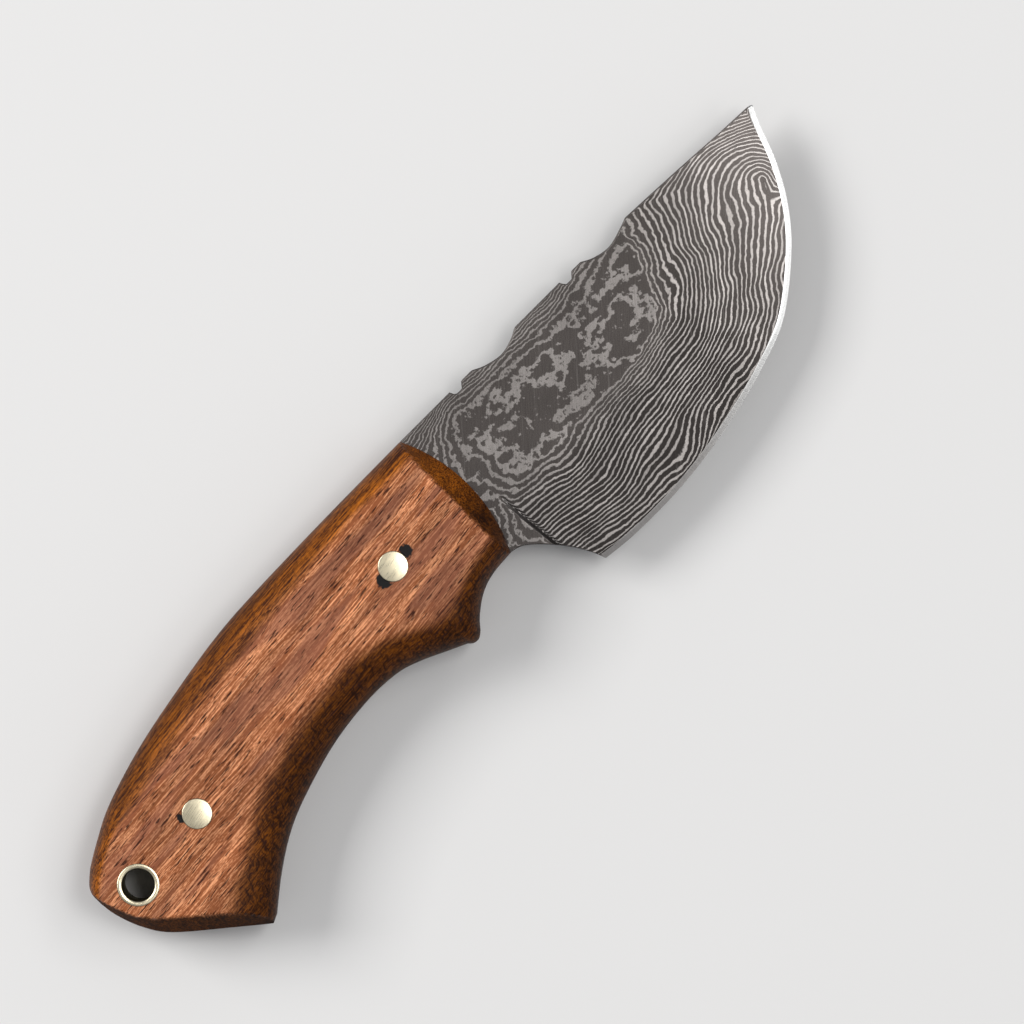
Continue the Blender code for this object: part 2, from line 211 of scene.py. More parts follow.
class SteelSettings(bpy.types.PropertyGroup):
    """Sizes and colours of the blade."""

    grid_step: length_setting("Grid step", "Spacing of the blade's mesh", 0.45 * MM)
    edge_bevel: length_setting("Edge bevel", "Width of the honed bevel", 1.1 * MM)
    edge_half: length_setting("Edge", "Half thickness left at the edge", 0.03 * MM)
    spine_break: length_setting("Spine break", "Softening of the back", 0.18 * MM)
    layer_pitch: length_setting("Layer pitch", "Height of one pair of layers", 0.069 * MM)
    dark: colour_setting("Dark steel", "Etched layers", (0.029, 0.0255, 0.0237, 1.0))
    light: colour_setting("Light steel", "Bright layers", (0.252, 0.233, 0.220, 1.0))
    honed: colour_setting("Honed steel", "The edge bevel", (0.59, 0.59, 0.58, 1.0))


class HandleSettings(bpy.types.PropertyGroup):
    """Sizes and colours of the scales and their glue."""

    grid_step: length_setting("Grid step", "Spacing of the scale's mesh", 0.45 * MM)
    wall: length_setting("Wall", "Upright wall at the tang", 1.85 * MM)
    foot_step: length_setting("Foot step", "Upright step at the ends", 0.85 * MM)
    glue_line: length_setting("Glue line", "Thickness of each glue film", 0.14 * MM)
    ridge: length_setting("Ridge", "Softening of the crisp ridges", 0.25 * MM)
    # Painted sheen: pale and body, the flat's colours, are paler and pinker than golden, the
    # sides' colour, standing in for the overhead light's sheen on the oiled flat.
    pale: colour_setting("Pale wood", "Streaks on the flat", (0.71, 0.305, 0.145, 1.0))
    body: colour_setting("Body wood", "The flat's own colour", (0.255, 0.077, 0.027, 1.0))
    heart: colour_setting("Heartwood", "Dull patches", (0.205, 0.074, 0.044, 1.0))
    golden: colour_setting("Golden wood", "The oiled sides", (0.37, 0.105, 0.007, 1.0))
    deep: colour_setting("Deep wood", "Dark figure", (0.050, 0.011, 0.0015, 1.0))
    pore: colour_setting("Pores", "Open pores", (0.030, 0.009, 0.006, 1.0))
    glue: colour_setting("Glue", "Black glue", (0.010, 0.009, 0.009, 1.0))


class BrassSettings(bpy.types.PropertyGroup):
    """Sizes and colours of the pins and the tube."""

    dome: length_setting("Dome", "Softening at a pin's rim", 0.18 * MM)
    tube_wall: length_setting("Tube wall", "Thickness of the tube", 0.95 * MM)
    lip: length_setting("Lip", "Softening of the tube's rims", 0.16 * MM)
    pale: colour_setting("Brass", "Polished brass", (0.76, 0.67, 0.47, 1.0))
    # dull is the colour that the tube's bore takes further down from its rim.
    dull: colour_setting("Dull brass", "Tarnish in the bore", (0.12, 0.095, 0.04, 1.0))


class StageSettings(bpy.types.PropertyGroup):
    """The studio."""

    camera_height: length_setting("Camera height", "Above the knife", 2.2)
    view_width: length_setting("View width", "Seen at the knife", 0.1997)
    floor: colour_setting("Floor", "The floor's colour", (0.74, 0.73, 0.715, 1.0))


# ---------------- outlines


def curve_through(points, steps=12):
    """A smooth curve through given points, as an array."""
    given = np.array([points[0], *points, points[-1]], float)
    share = np.arange(steps)[:, None] / steps
    runs = []
    for a, b, c, d in zip(given, given[1:], given[2:], given[3:]):
        cubic = 3 * b - a - 3 * c + d
        square = 2 * a - 5 * b + 4 * c - d
        runs.append(b + 0.5 * share * (c - a + share * (square + share * cubic)))
    return np.vstack([*runs, given[-1:]])


def joined(*runs):
    """Runs of points end to end, each shared point kept once."""
    points = np.vstack(runs)
    step = np.linalg.norm(np.diff(points, axis=0), axis=1)
    return points[np.append(True, step > 1e-4)]


def y_at(line, x):
    """The height of a line that runs one way along X, at these places."""
    order = np.argsort(line[:, 0], kind="stable")
    return np.interp(x, line[order, 0], line[order, 1])


def along(line):
    """Distance along a line at each of its points."""
    step = np.linalg.norm(np.diff(line[:, :2], axis=0), axis=1)
    return np.append(0.0, np.cumsum(step))


def resampled(line, count):
    """The line with evenly spaced points."""
    place = along(line)
    wanted = np.linspace(0.0, place[-1], count)
    return np.stack([np.interp(wanted, place, line[:, k]) for k in range(line.shape[1])], 1)


def nearest(line, x, y):
    """Distance to a line and the number of its nearest point, at each place."""
    tree = KDTree(len(line))
    for number, point in enumerate(line):
        tree.insert((point[0], point[1], 0.0), number)
    tree.balance()
    found = [tree.find((px, py, 0.0))[1:] for px, py in zip(x.flat, y.flat)]
    number = np.array([n for n, _ in found]).reshape(x.shape)
    distance = np.array([d for _, d in found]).reshape(x.shape)
    return distance, number


def left_of(line, number, x, y):
    """Whether each place lies to the left of the line's direction there."""
    ahead = line[np.minimum(number + 1, len(line) - 1)]
    behind = line[np.maximum(number - 1, 0)]
    run = ahead - behind
    cross = run[..., 0] * (y - behind[..., 1]) - run[..., 1] * (x - behind[..., 0])
    return cross > 0


def soft_min(a, b, width):
    """The lower of two heights, blended where they are within a width."""
    near = np.maximum(width - np.abs(a - b), 0.0)
    return np.minimum(a, b) - near**2 / (4 * width)


def smooth_step(t):
    """An even ease from nought to one."""
    t = np.clip(t, 0.0, 1.0)
    return t * t * (3 - 2 * t)


def merged(columns, *runs):
    """Places along X from runs of columns and others, rising, each kept once."""
    every = [*runs, *(np.linspace(*run) for run in columns)]
    return np.unique(np.concatenate(every).round(4))


def foot_x(y):
    """X of the bowed front foot of the handle at these heights."""
    middle = (FOOT_SPINE[1] + FOOT_CHOIL[1]) / 2
    half = (FOOT_SPINE[1] - FOOT_CHOIL[1]) / 2
    radius = (half**2 + FOOT_BULGE**2) / (2 * FOOT_BULGE)
    base = (FOOT_SPINE[0] + FOOT_CHOIL[0]) / 2 + FOOT_BULGE - radius
    return base + np.sqrt(np.maximum(radius**2 - (y - middle) ** 2, 0.0))


HANDLE_TOP = joined(*map(curve_through, (SPINE_CORNER[::-1], HANDLE_SPINE[::-1])))
BELLY_LINE = joined(*map(curve_through, (BELLY, GUARD, GUARD_FRONT)))
HANDLE_BOTTOM = joined(curve_through(BUTT), np.array([BUTT_CORNER]), BELLY_LINE)
BLADE_BOTTOM = joined(curve_through([*CHOIL, HEEL]), curve_through(EDGE))
BLADE_TOP = joined(
    np.array([FOOT_SPINE]),
    np.array(FRONT_NOTCH),
    curve_through(FRONT_SCALLOP),
    np.array(REAR_NOTCH),
    curve_through(REAR_SCALLOP),
    curve_through(TIP_SPINE),
)


# ---------------- mesh work


def deselect():
    """Leave object mode with nothing selected."""
    if bpy.context.object and bpy.context.object.mode != "OBJECT":
        bpy.ops.object.mode_set(mode="OBJECT")
    bpy.ops.object.select_all(action="DESELECT")


def make_active(piece):
    """Select only this piece."""
    deselect()
    piece.select_set(True)
    bpy.context.view_layer.objects.active = piece


def edit(piece):
    """Open a piece in edit mode, with all of it selected."""
    make_active(piece)
    bpy.ops.object.mode_set(mode="EDIT")
    bpy.ops.mesh.select_all(action="SELECT")


def named(name):
    """Name the primitive just added, with its mesh."""
    piece = bpy.context.object
    piece.name = name
    piece.data.name = name
    return piece


def sheet(name, x, y, z):
    """A grid primitive with its points moved to the given places, in millimetres."""
    deselect()
    rows, columns = x.shape
    bpy.ops.mesh.primitive_grid_add(
        x_subdivisions=columns - 1, y_subdivisions=rows - 1, size=1.0
    )
    piece = named(name)
    place_points(piece, 0, x, y, z)
    return piece


def place_points(piece, first, x, y, z):
    """Move a run of a mesh's points, starting with the numbered one."""
    mesh = piece.data
    places = np.empty(len(mesh.vertices) * 3, np.float32)
    mesh.vertices.foreach_get("co", places)
    places = places.reshape(-1, 3)
    moved = np.stack([x.ravel(), y.ravel(), z.ravel()], 1) * MM
    places[first : first + len(moved)] = moved
    mesh.vertices.foreach_set("co", places.ravel())
    mesh.update()


def extrude_all(piece):
    """Extrude a whole open sheet into a closed body, and leave edit mode."""
    edit(piece)
    bpy.ops.mesh.extrude_region_move(TRANSFORM_OT_translate={"value": (0, 0, -MM)})
    bpy.ops.object.mode_set(mode="OBJECT")


def outward(piece):
    """Merge what lies on one spot and turn all faces outwards."""
    edit(piece)
    bpy.ops.mesh.remove_doubles(threshold=1e-7)
    bpy.ops.mesh.normals_make_consistent(inside=False)
    if bmesh.from_edit_mesh(piece.data).calc_volume(signed=True) < 0:
        bpy.ops.mesh.flip_normals()
    bpy.ops.object.mode_set(mode="OBJECT")


def centre_and_radius(node):
    """The middle of a round CAD node and its radius, in metres."""
    low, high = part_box(node)
    return (low + high) / 2, (high.x - low.x) / 2


def drill_all(piece):
    """Drill a piece right through for both pins and the tube."""
    deselect()
    bars = []
    for node in ("front_pin", "rear_pin", "lanyard_tube"):
        centre, radius = centre_and_radius(node)
        bpy.ops.mesh.primitive_cylinder_add(
            vertices=72,
            radius=radius + DRILL_CLEARANCE,
            depth=DRILL_LENGTH,
            location=centre,
        )
        bars.append(bpy.context.object)
    for bar in bars:
        bar.select_set(True)
    bpy.ops.object.join()
    cutter = bpy.context.object
    make_active(piece)
    cut = piece.modifiers.new("holes", "BOOLEAN")
    cut.operation = "DIFFERENCE"
    cut.solver = "MANIFOLD"
    cut.object = cutter
    bpy.ops.object.modifier_apply(modifier=cut.name)
    bpy.data.objects.remove(cutter, do_unlink=True)


def store(piece, name, values, rest=0.0):
    """Keep a number on each point of a piece, for its material to read."""
    kept = piece.data.attributes.new(name, "FLOAT", "POINT")
    full = np.full(len(piece.data.vertices), rest, np.float32)
    full[: values.size] = values.ravel()
    kept.data.foreach_set("value", full)


def smooth(piece, degrees):
    """Shade a piece smooth, but for edges sharper than the angle."""
    make_active(piece)
    bpy.ops.object.shade_smooth_by_angle(angle=math.radians(degrees))


def dress(piece, nodes, slot, *materials):
    """Give a piece its materials and body, and hide the CAD nodes it replaces. The slot is not
    used.
    """
    for material in materials:
        piece.data.materials.append(material)
    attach(piece, "root")
    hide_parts(*nodes)


# ---------------- materials


def plug(tree, value, socket):
    """Give a socket a value, or link another socket to it."""
    if isinstance(value, bpy.types.NodeSocket):
        tree.links.new(value, socket)
    else:
        socket.default_value = value


def add(tree, kind, inputs=None, **settings):
    """Add a node with its settings, and its inputs as values or sockets."""
    made = tree.nodes.new(kind)
    for name, value in settings.items():
        setattr(made, name, value)
    for key, value in (inputs or {}).items():
        plug(tree, value, made.inputs[key])
    return made


def maths(tree, operation, *values):
    """A Math node's result."""
    made = add(tree, "ShaderNodeMath", dict(enumerate(values)), operation=operation)
    return made.outputs[0]


def total(tree, *values):
    """The sum of several values."""
    return reduce(lambda one, other: maths(tree, "ADD", one, other), values)


def product(tree, *values):
    """Several values multiplied together."""
    return reduce(lambda one, other: maths(tree, "MULTIPLY", one, other), values)


def minus(tree, one, other):
    """One value less another."""
    return maths(tree, "SUBTRACT", one, other)


def axes(tree, place):
    """The X, Y and Z of coordinates."""
    return add(tree, "ShaderNodeSeparateXYZ", {0: place}).outputs


def attribute(tree, name):
    """The number that a piece keeps on each point under this name."""
    return add(tree, "ShaderNodeAttribute", attribute_name=name).outputs["Fac"]


def remap(tree, value, low, high, to_low=0.0, to_high=1.0, smooth_ends=False):
    """A value moved from one range to another, and held inside it."""
    made = add(
        tree,
        "ShaderNodeMapRange",
        {0: value, 1: low, 2: high, 3: to_low, 4: to_high},
        interpolation_type="SMOOTHSTEP" if smooth_ends else "LINEAR",
    )
    return made.outputs[0]


def noise(tree, place, scale, detail=2.0, rough=0.5, distortion=0.0):
    """A Noise texture's value."""
    inputs = {
        "Vector": place,
        "Scale": scale,
        "Detail": detail,
        "Roughness": rough,
        "Distortion": distortion,
    }
    return add(tree, "ShaderNodeTexNoise", inputs).outputs["Fac"]


def centred_noise(tree, place, size, reach, detail=1.0):
    """Noise about nought, of a feature size and a reach in millimetres."""
    value = noise(tree, place, 1.0 / size, detail)
    return product(tree, minus(tree, value, 0.5), 2.0 * reach)


def stretched(tree, place, scale, turn=0.0, shift=(0.0, 0.0, 0.0)):
    """Coordinates shifted, turned about Z by degrees, then stretched along each axis."""
    inputs = {
        "Vector": place,
        "Location": shift,
        "Rotation": (0.0, 0.0, math.radians(turn)),
        "Scale": tuple(1.0 / part for part in scale),
    }
    return add(tree, "ShaderNodeMapping", inputs, vector_type="TEXTURE").outputs[0]


def blend(tree, share, one, other, kind="MIX"):
    """Two colours mixed by a share."""
    inputs = {0: share, 6: one, 7: other}
    made = add(tree, "ShaderNodeMix", inputs, data_type="RGBA", blend_type=kind)
    return made.outputs[2]


def shaded(tree, colour, tone):
    """A colour made lighter or darker by a factor."""
    grey = add(tree, "ShaderNodeCombineColor", {0: tone, 1: tone, 2: tone})
    return blend(tree, 1.0, colour, grey.outputs[0], "MULTIPLY")


def times(colour, factor):
    """A setting's colour made lighter or darker."""
    return (*(factor * part for part in colour[:3]), 1.0)


def bump(tree, height, strength, distance):
    """A Bump node's normal. The distance is in metres."""
    inputs = {"Height": height, "Strength": strength, "Distance": distance}
    return add(tree, "ShaderNodeBump", inputs).outputs[0]


def feed(tree, shader, *values):
    """Link a colour, a roughness and perhaps a normal to a shader."""
    for name, value in zip(("Base Color", "Roughness", "Normal"), values):
        tree.links.new(value, shader.inputs[name])


def new_material(name, metallic, roughness, **sockets):
    """A new material's tree, its shader, and its Object coordinates in millimetres."""
    made = bpy.data.materials.new(name)
    made.use_nodes = True
    tree = made.node_tree
    shader = tree.nodes["Principled BSDF"]
    shader.inputs["Metallic"].default_value = metallic
    shader.inputs["Roughness"].default_value = roughness
    for key, value in sockets.items():
        shader.inputs[key.replace("_", " ")].default_value = value
    origin = add(tree, "ShaderNodeTexCoord").outputs["Object"]
    scale = (1.0 / MM, 1.0 / MM, 1.0 / MM)
    inputs = {"Vector": origin, "Location": (0.0, 0.0, -MIDDLE), "Scale": scale}
    return tree, shader, add(tree, "ShaderNodeMapping", inputs).outputs[0]


def new_group(name, inputs, outputs):
    """A shader node group with named sockets, given with its inner ends."""
    group = bpy.data.node_groups.new(name, "ShaderNodeTree")
    for socket, kind, value in inputs:
        made = group.interface.new_socket(name=socket, in_out="INPUT", socket_type=kind)
        if value is not None:
            made.default_value = value
    for socket in outputs:
        group.interface.new_socket(
            name=socket, in_out="OUTPUT", socket_type="NodeSocketFloat"
        )
    start = group.nodes.new("NodeGroupInput")
    end = group.nodes.new("NodeGroupOutput")
    return group, start.outputs, end.inputs


def use_group(tree, group, **inputs):
    """Place a node group and return its outputs."""
    return add(tree, "ShaderNodeGroup", inputs, node_tree=group).outputs


def brush_marks_group():
    """Fine parallel marks left by abrasive, with a few deeper ones."""
    group, given, made = new_group(
        "brush_marks",
        [
            ("Place", "NodeSocketVector", None),
            ("Turn", "NodeSocketFloat", 0.0),
            ("Fineness", "NodeSocketFloat", 4.0),
        ],
        ["Marks", "Deep"],
    )
    turn = add(group, "ShaderNodeCombineXYZ", {2: given["Turn"]}).outputs[0]
    turned = add(
        group,
        "ShaderNodeVectorRotate",
        {"Vector": given["Place"], "Rotation": turn},
        rotation_type="EULER_XYZ",
    ).outputs[0]
    fine = stretched(group, turned, (0.06, 1.0, 1.0))
    marks = noise(group, fine, given["Fineness"], 4.0, 0.65)
    coarse = stretched(group, turned, (0.025, 1.0, 1.0), shift=(3.1, 7.7, 1.3))
    scored = noise(group, coarse, product(group, given["Fineness"], 0.6), 2.0)
    group.links.new(marks, made["Marks"])
    group.links.new(remap(group, scored, 0.63, 0.72), made["Deep"])
    return group


def smudges_group():
    """Broad soft clouds, for handling marks, oil and dust."""
    group, given, made = new_group(
        "smudges",
        [("Place", "NodeSocketVector", None), ("Size", "NodeSocketFloat", 10.0)],
        ["Clouds", "Specks"],
    )
    scale = maths(group, "DIVIDE", 1.0, given["Size"])
    clouds = noise(group, given["Place"], scale, 3.0, 0.55, distortion=0.6)
    specks = noise(group, given["Place"], product(group, scale, 14.0), 2.0)
    group.links.new(remap(group, clouds, 0.3, 0.7), made["Clouds"])
    group.links.new(remap(group, specks, 0.64, 0.74), made["Specks"])
    return group


def toward(tree, x, y, centre, angle):
    """How far each place lies from a centre in a direction, which is in degrees."""
    part_x = product(tree, minus(tree, x, centre[0]), math.cos(math.radians(angle)))
    part_y = product(tree, minus(tree, y, centre[1]), math.sin(math.radians(angle)))
    return total(tree, part_x, part_y)


def hollow(tree, x, y, centre, reach, depth, turn=0.0):
    """A soft oval rise or hollow in a height, about a place in the blade's plane."""
    square = 0.0
    for size, angle in zip(reach, (turn, turn + 90.0)):
        part = product(tree, toward(tree, x, y, centre, angle), 1.0 / size)
        square = maths(tree, "MULTIPLY_ADD", part, part, square)
    fall = maths(tree, "EXPONENT", product(tree, square, -1.0))
    return product(tree, fall, depth)


def turned_over(tree, x, y, centre, angle, rate):
    """A rise that turns lines beside a direction into arches past a place."""
    forward = toward(tree, x, y, centre, angle)
    inward = toward(tree, x, y, centre, angle + 90.0)
    ahead = maths(tree, "MAXIMUM", forward, 0.0)
    square = total(tree, product(tree, ahead, ahead), product(tree, inward, inward))
    far = minus(tree, maths(tree, "SQRT", square), inward)
    near = remap(tree, forward, -7.0, 1.0, 0.0, rate, smooth_ends=True)
    return product(tree, far, near)


def layer_moves(tree, x, y, on_bevel, on_flat):
    """How far forging moved the layers: hollows, arches, a rolled back, a sunk tang."""
    warps = [hollow(tree, x, y, *warp) for warp in LAYER_WARPS]
    warps.append(turned_over(tree, x, y, *TIP_ARCHES))
    warp = product(tree, total(tree, *warps), on_bevel)
    from_back = maths(tree, "MAXIMUM", minus(tree, y, ROLLED_BACK_Y), 0.0)
    back = product(tree, from_back, from_back, remap(tree, x, 62.0, 44.0, 0.0, -0.011))
    from_tang = maths(tree, "MAXIMUM", minus(tree, SUNK_TANG_X, x), 0.0)
    tang = product(tree, maths(tree, "MINIMUM", from_tang, 10.0), on_flat, -0.03)
    return total(tree, warp, back, tang)


def layer_wander(tree, place, on_bevel, on_flat):
    """How far the layers wander at random, from broad waves to ragged borders."""
    drawn = stretched(tree, place, (0.6, 1.0, 1.0))
    ragged = centred_noise(tree, place, 0.8, 0.036, 3.0)
    return total(
        tree,
        centred_noise(tree, drawn, 10.0, 0.13),
        centred_noise(tree, drawn, 3.4, 0.040),
        centred_noise(tree, place, 1.3, 0.017, 2.0),
        product(tree, ragged, remap(tree, on_bevel, 0.0, 1.0, 1.0, 0.2)),
        product(tree, centred_noise(tree, drawn, 4.5, 0.10, 2.0), on_flat),
    )


def light_layers(tree, place, layer):
    """Where the light layers show, and how light each of them is."""
    share = maths(tree, "FRACT", layer)
    peak = product(tree, maths(tree, "ABSOLUTE", minus(tree, share, 0.5)), 2.0)
    threshold = remap(tree, noise(tree, place, 0.3, 2.0), 0.3, 0.7, 0.55, 0.74)
    light = remap(tree, minus(tree, peak, threshold), -0.12, 0.14, smooth_ends=True)
    number = maths(tree, "FLOOR", total(tree, layer, 0.5))
    grade = add(tree, "ShaderNodeTexWhiteNoise", {"W": number}, noise_dimensions="1D")
    return light, remap(tree, grade.outputs["Value"], 0.0, 1.0, 0.66, 1.0)


def layered_steel(brush_marks, smudges):
    """Etched layered steel: the layers lie flat, and grinding cuts across them."""
    settings = bpy.context.scene.knife_steel
    tree, shader, place = new_material("layered_steel", 1.0, 0.42)
    x, y, z = axes(tree, place)
    height = maths(tree, "ABSOLUTE", z)
    on_bevel = remap(tree, height, HALF_STEEL - FLAT_DIP, HALF_STEEL - BEVEL_DIP)
    on_flat = minus(tree, 1.0, on_bevel)
    moved = layer_moves(tree, x, y, on_bevel, on_flat)
    wander = layer_wander(tree, place, on_bevel, on_flat)
    layer = product(tree, total(tree, height, moved, wander), MM / settings.layer_pitch)
    light, grade = light_layers(tree, place, layer)
    shine = product(tree, light, grade, remap(tree, on_bevel, 0.0, 1.0, 0.74, 1.0))

    # Painted sheen: from x 60 to 94 the bevel's ground and tone are lightened towards the tip,
    # standing in for the light's sheen there.
    painted_tip_sheen = product(tree, remap(tree, x, 60.0, 94.0), on_bevel)
    ground = blend(tree, on_bevel, times(settings.dark, 2.2), settings.dark)
    ground = blend(tree, painted_tip_sheen, ground, times(settings.dark, 2.9))
    colour = blend(tree, shine, ground, settings.light)
    marks = use_group(tree, brush_marks, Place=place, Turn=BLADE_BRUSHING, Fineness=4.0)
    clouds = use_group(tree, smudges, Place=place, Size=16.0)["Clouds"]
    grain = noise(tree, place, 5.5, 3.0, 0.7)
    tone = product(
        tree,
        remap(tree, grain, 0.3, 0.7, 0.7, 1.25),
        remap(tree, clouds, 0.0, 1.0, 0.9, 1.12),
        remap(tree, marks["Marks"], 0.3, 0.7, 0.8, 1.22),
        remap(tree, painted_tip_sheen, 0.0, 1.0, 1.0, 1.4),
    )
    scored = product(tree, marks["Deep"], 0.12)
    colour = blend(tree, scored, shaded(tree, colour, tone), settings.light)
    rough = remap(tree, marks["Marks"], 0.3, 0.7, 0.42, 0.55)
    rough = minus(tree, rough, product(tree, light, 0.09))
    relief = total(
        tree, light, product(tree, grain, 0.5), product(tree, marks["Marks"], 0.25)
    )
    feed(tree, shader, colour, rough, bump(tree, relief, 0.5, 0.03 * MM))


def honed_steel(brush_marks, smudges):
    """The ground and honed edge bevel, with marks straight across it."""
    settings = bpy.context.scene.knife_steel
    tree, shader, place = new_material("honed_steel", 1.0, 0.25)
    inputs = {0: attribute(tree, "edge_rise"), 1: attribute(tree, "edge_run")}
    local = add(tree, "ShaderNodeCombineXYZ", inputs).outputs[0]
    marks = use_group(tree, brush_marks, Place=local, Turn=0.0, Fineness=9.0)
    clouds = use_group(tree, smudges, Place=place, Size=7.0)["Clouds"]
    worn = product(tree, marks["Marks"], remap(tree, clouds, 0.0, 1.0, 0.8, 1.0))
    worn = remap(tree, worn, 0.25, 0.6)
    colour = blend(tree, worn, times(settings.honed, 0.55), settings.honed)
    # Painted shade: coarse is the share by which the honed bevel goes over to the darker
    # light-steel colour from x 72 back to 42, towards the heel, where it catches less of the
    # lamps' reflection.
    coarse = remap(tree, axes(tree, place)[0], 72.0, 42.0, 0.0, 0.8)
    colour = blend(tree, coarse, colour, settings.light)
    rough = remap(tree, marks["Marks"], 0.3, 0.7, 0.27, 0.42)
    relief = total(tree, marks["Marks"], marks["Deep"])
    feed(tree, shader, colour, rough, bump(tree, relief, 0.35, 0.012 * MM))


def wood_grain(tree, place):
    """Streaks, broad bands, open pores and dull patches, all along the grain."""
    sway = centred_noise(tree, stretched(tree, place, (0.4, 1.0, 1.0)), 9.0, 0.8)
    swayed = add(tree, "ShaderNodeCombineXYZ", {1: sway, 2: sway}).outputs[0]
    bent = add(tree, "ShaderNodeVectorMath", {0: place, 1: swayed}).outputs[0]

    def grain(scale, *texture, shift=(0.0, 0.0, 0.0)):
        """A Noise texture drawn out along the grain."""
        return noise(tree, stretched(tree, bent, scale, GRAIN_TURN, shift), *texture)

    fleck = minus(tree, grain((0.3, 1.0, 1.0), 4.6, 1.0), 0.5)
    streak = grain((0.035, 1.0, 0.8), 3.0, 3.0, 0.6)
    streak = maths(tree, "MULTIPLY_ADD", fleck, 0.35, streak)
    bands = grain((0.02, 0.3, 0.25), 1.0, 2.0)
    pores = remap(tree, grain((0.14, 1.5, 1.5), 2.0, 2.0, 0.6), 0.585, 0.64)
    patches = grain((0.16, 1.0, 1.0), 0.2, shift=(9.0, 2.0, 0.0))
    return streak, bands, pores, remap(tree, patches, 0.50, 0.61, 0.0, 0.62)


def filler_mask(tree, place, x, y, z):
    """Small dabs of black filler in the show side, beside the pins."""
    filled = 0.0
    for node, shift, reach in FILLER_DABS:
        centre = centre_and_radius(node)[0] / MM
        at = (centre.x + shift[0], centre.y + shift[1])
        filled = maths(tree, "MAXIMUM", hollow(tree, x, y, at, reach, 1.0), filled)
    ragged = centred_noise(tree, place, 0.7, 0.8, 3.0)
    filled = maths(tree, "MULTIPLY_ADD", ragged, filled, filled)
    return product(tree, remap(tree, filled, 0.34, 0.46), remap(tree, z, 0.0, 1.0))


def oiled_wood(smudges):
    """Oiled open-grained wood, golden down the sides, with painted light: the flat is painted
    paler and pinker than the sides as a painted sheen, and the sides, belly and butt are
    darkened as painted shade.
    """
    settings = bpy.context.scene.knife_handle
    tree, shader, place = new_material("oiled_wood", 0.0, 0.45, Specular_IOR_Level=0.10)
    x, y, z = axes(tree, place)
    streak, bands, pores, patches = wood_grain(tree, place)
    figure_place = stretched(tree, place, (0.9, 0.35, 0.35), -24.0)
    figure = noise(tree, figure_place, 1.4, 3.0, 0.62, distortion=0.8)
    clouds = use_group(tree, smudges, Place=place, Size=14.0)["Clouds"]

    # side_fall runs from nought on the flat to one at the wall. It sets where the painted
    # sheen on the flat gives way to the golden sides, and how deep the painted shade down the
    # sides is.
    fall = attribute(tree, "side_fall")
    end = attribute(tree, "end_face")
    wavered = total(tree, fall, centred_noise(tree, place, 6.0, 0.08))
    side = remap(tree, wavered, 0.0, 0.42, smooth_ends=True)
    side = maths(tree, "MAXIMUM", side, end)
    # Painted shade: the belly half of the sides is darkened, as it is turned away from the
    # light on the spine side.
    belly = product(tree, remap(tree, attribute(tree, "to_spine"), 0.55, 0.35), side)
    # Painted shade: the end face at the butt is darkened. It is also made rougher.
    butt = product(tree, end, remap(tree, x, -60.0, -75.0))
    filled = filler_mask(tree, place, x, y, z)

    # Painted sheen: the flat's streaks, body and patches are given paler, pinker colours than
    # the golden sides.
    flat_with_painted_sheen = remap(tree, streak, 0.46, 0.64)
    flat_with_painted_sheen = blend(tree, flat_with_painted_sheen, settings.body, settings.pale)
    flat_with_painted_sheen = blend(tree, patches, flat_with_painted_sheen, settings.heart)
    amber = remap(tree, streak, 0.36, 0.62)
    amber = blend(tree, amber, settings.deep, settings.golden)
    # The figure is the wood's own. Towards the belly it is made darker as painted shade.
    figure_with_painted_belly_shade = remap(tree, belly, 0.0, 1.0, 0.35, 0.95)
    figured = product(tree, remap(tree, figure, 0.48, 0.64), side, figure_with_painted_belly_shade)
    amber = blend(tree, figured, amber, settings.deep)
    # The bands and clouds are the wood's own tone; the fall, belly and butt terms darken it as
    # painted shade.
    tone = product(
        tree,
        remap(tree, bands, 0.35, 0.65, 0.80, 1.22),
        remap(tree, clouds, 0.0, 1.0, 0.92, 1.06),
        remap(tree, fall, 0.45, 1.0, 1.0, 0.5),
        remap(tree, belly, 0.0, 1.0, 1.0, 0.44),
        remap(tree, butt, 0.0, 1.0, 1.0, 0.62),
    )
    colour = shaded(tree, blend(tree, side, flat_with_painted_sheen, amber), tone)
    colour = blend(tree, product(tree, pores, 0.9), colour, settings.pore)
    colour = blend(tree, filled, colour, settings.glue)
    rough = total(
        tree,
        remap(tree, streak, 0.3, 0.7, 0.52, 0.42),
        product(tree, pores, 0.25),
        product(tree, filled, -0.1),
        product(tree, butt, 0.4),
    )
    relief = minus(tree, product(tree, streak, 0.35), pores)
    feed(tree, shader, colour, rough, bump(tree, relief, 0.55, 0.05 * MM))


def black_glue(smudges):
    """Cured black glue, with a little dust on it."""
    settings = bpy.context.scene.knife_handle
    tree, shader, place = new_material("black_glue", 0.0, 0.45)
    made = use_group(tree, smudges, Place=place, Size=5.0)
    dust = product(tree, made["Specks"], 0.5)
    colour = blend(tree, dust, settings.glue, times(settings.glue, 6.0))
    feed(tree, shader, colour, remap(tree, made["Clouds"], 0.0, 1.0, 0.35, 0.6))


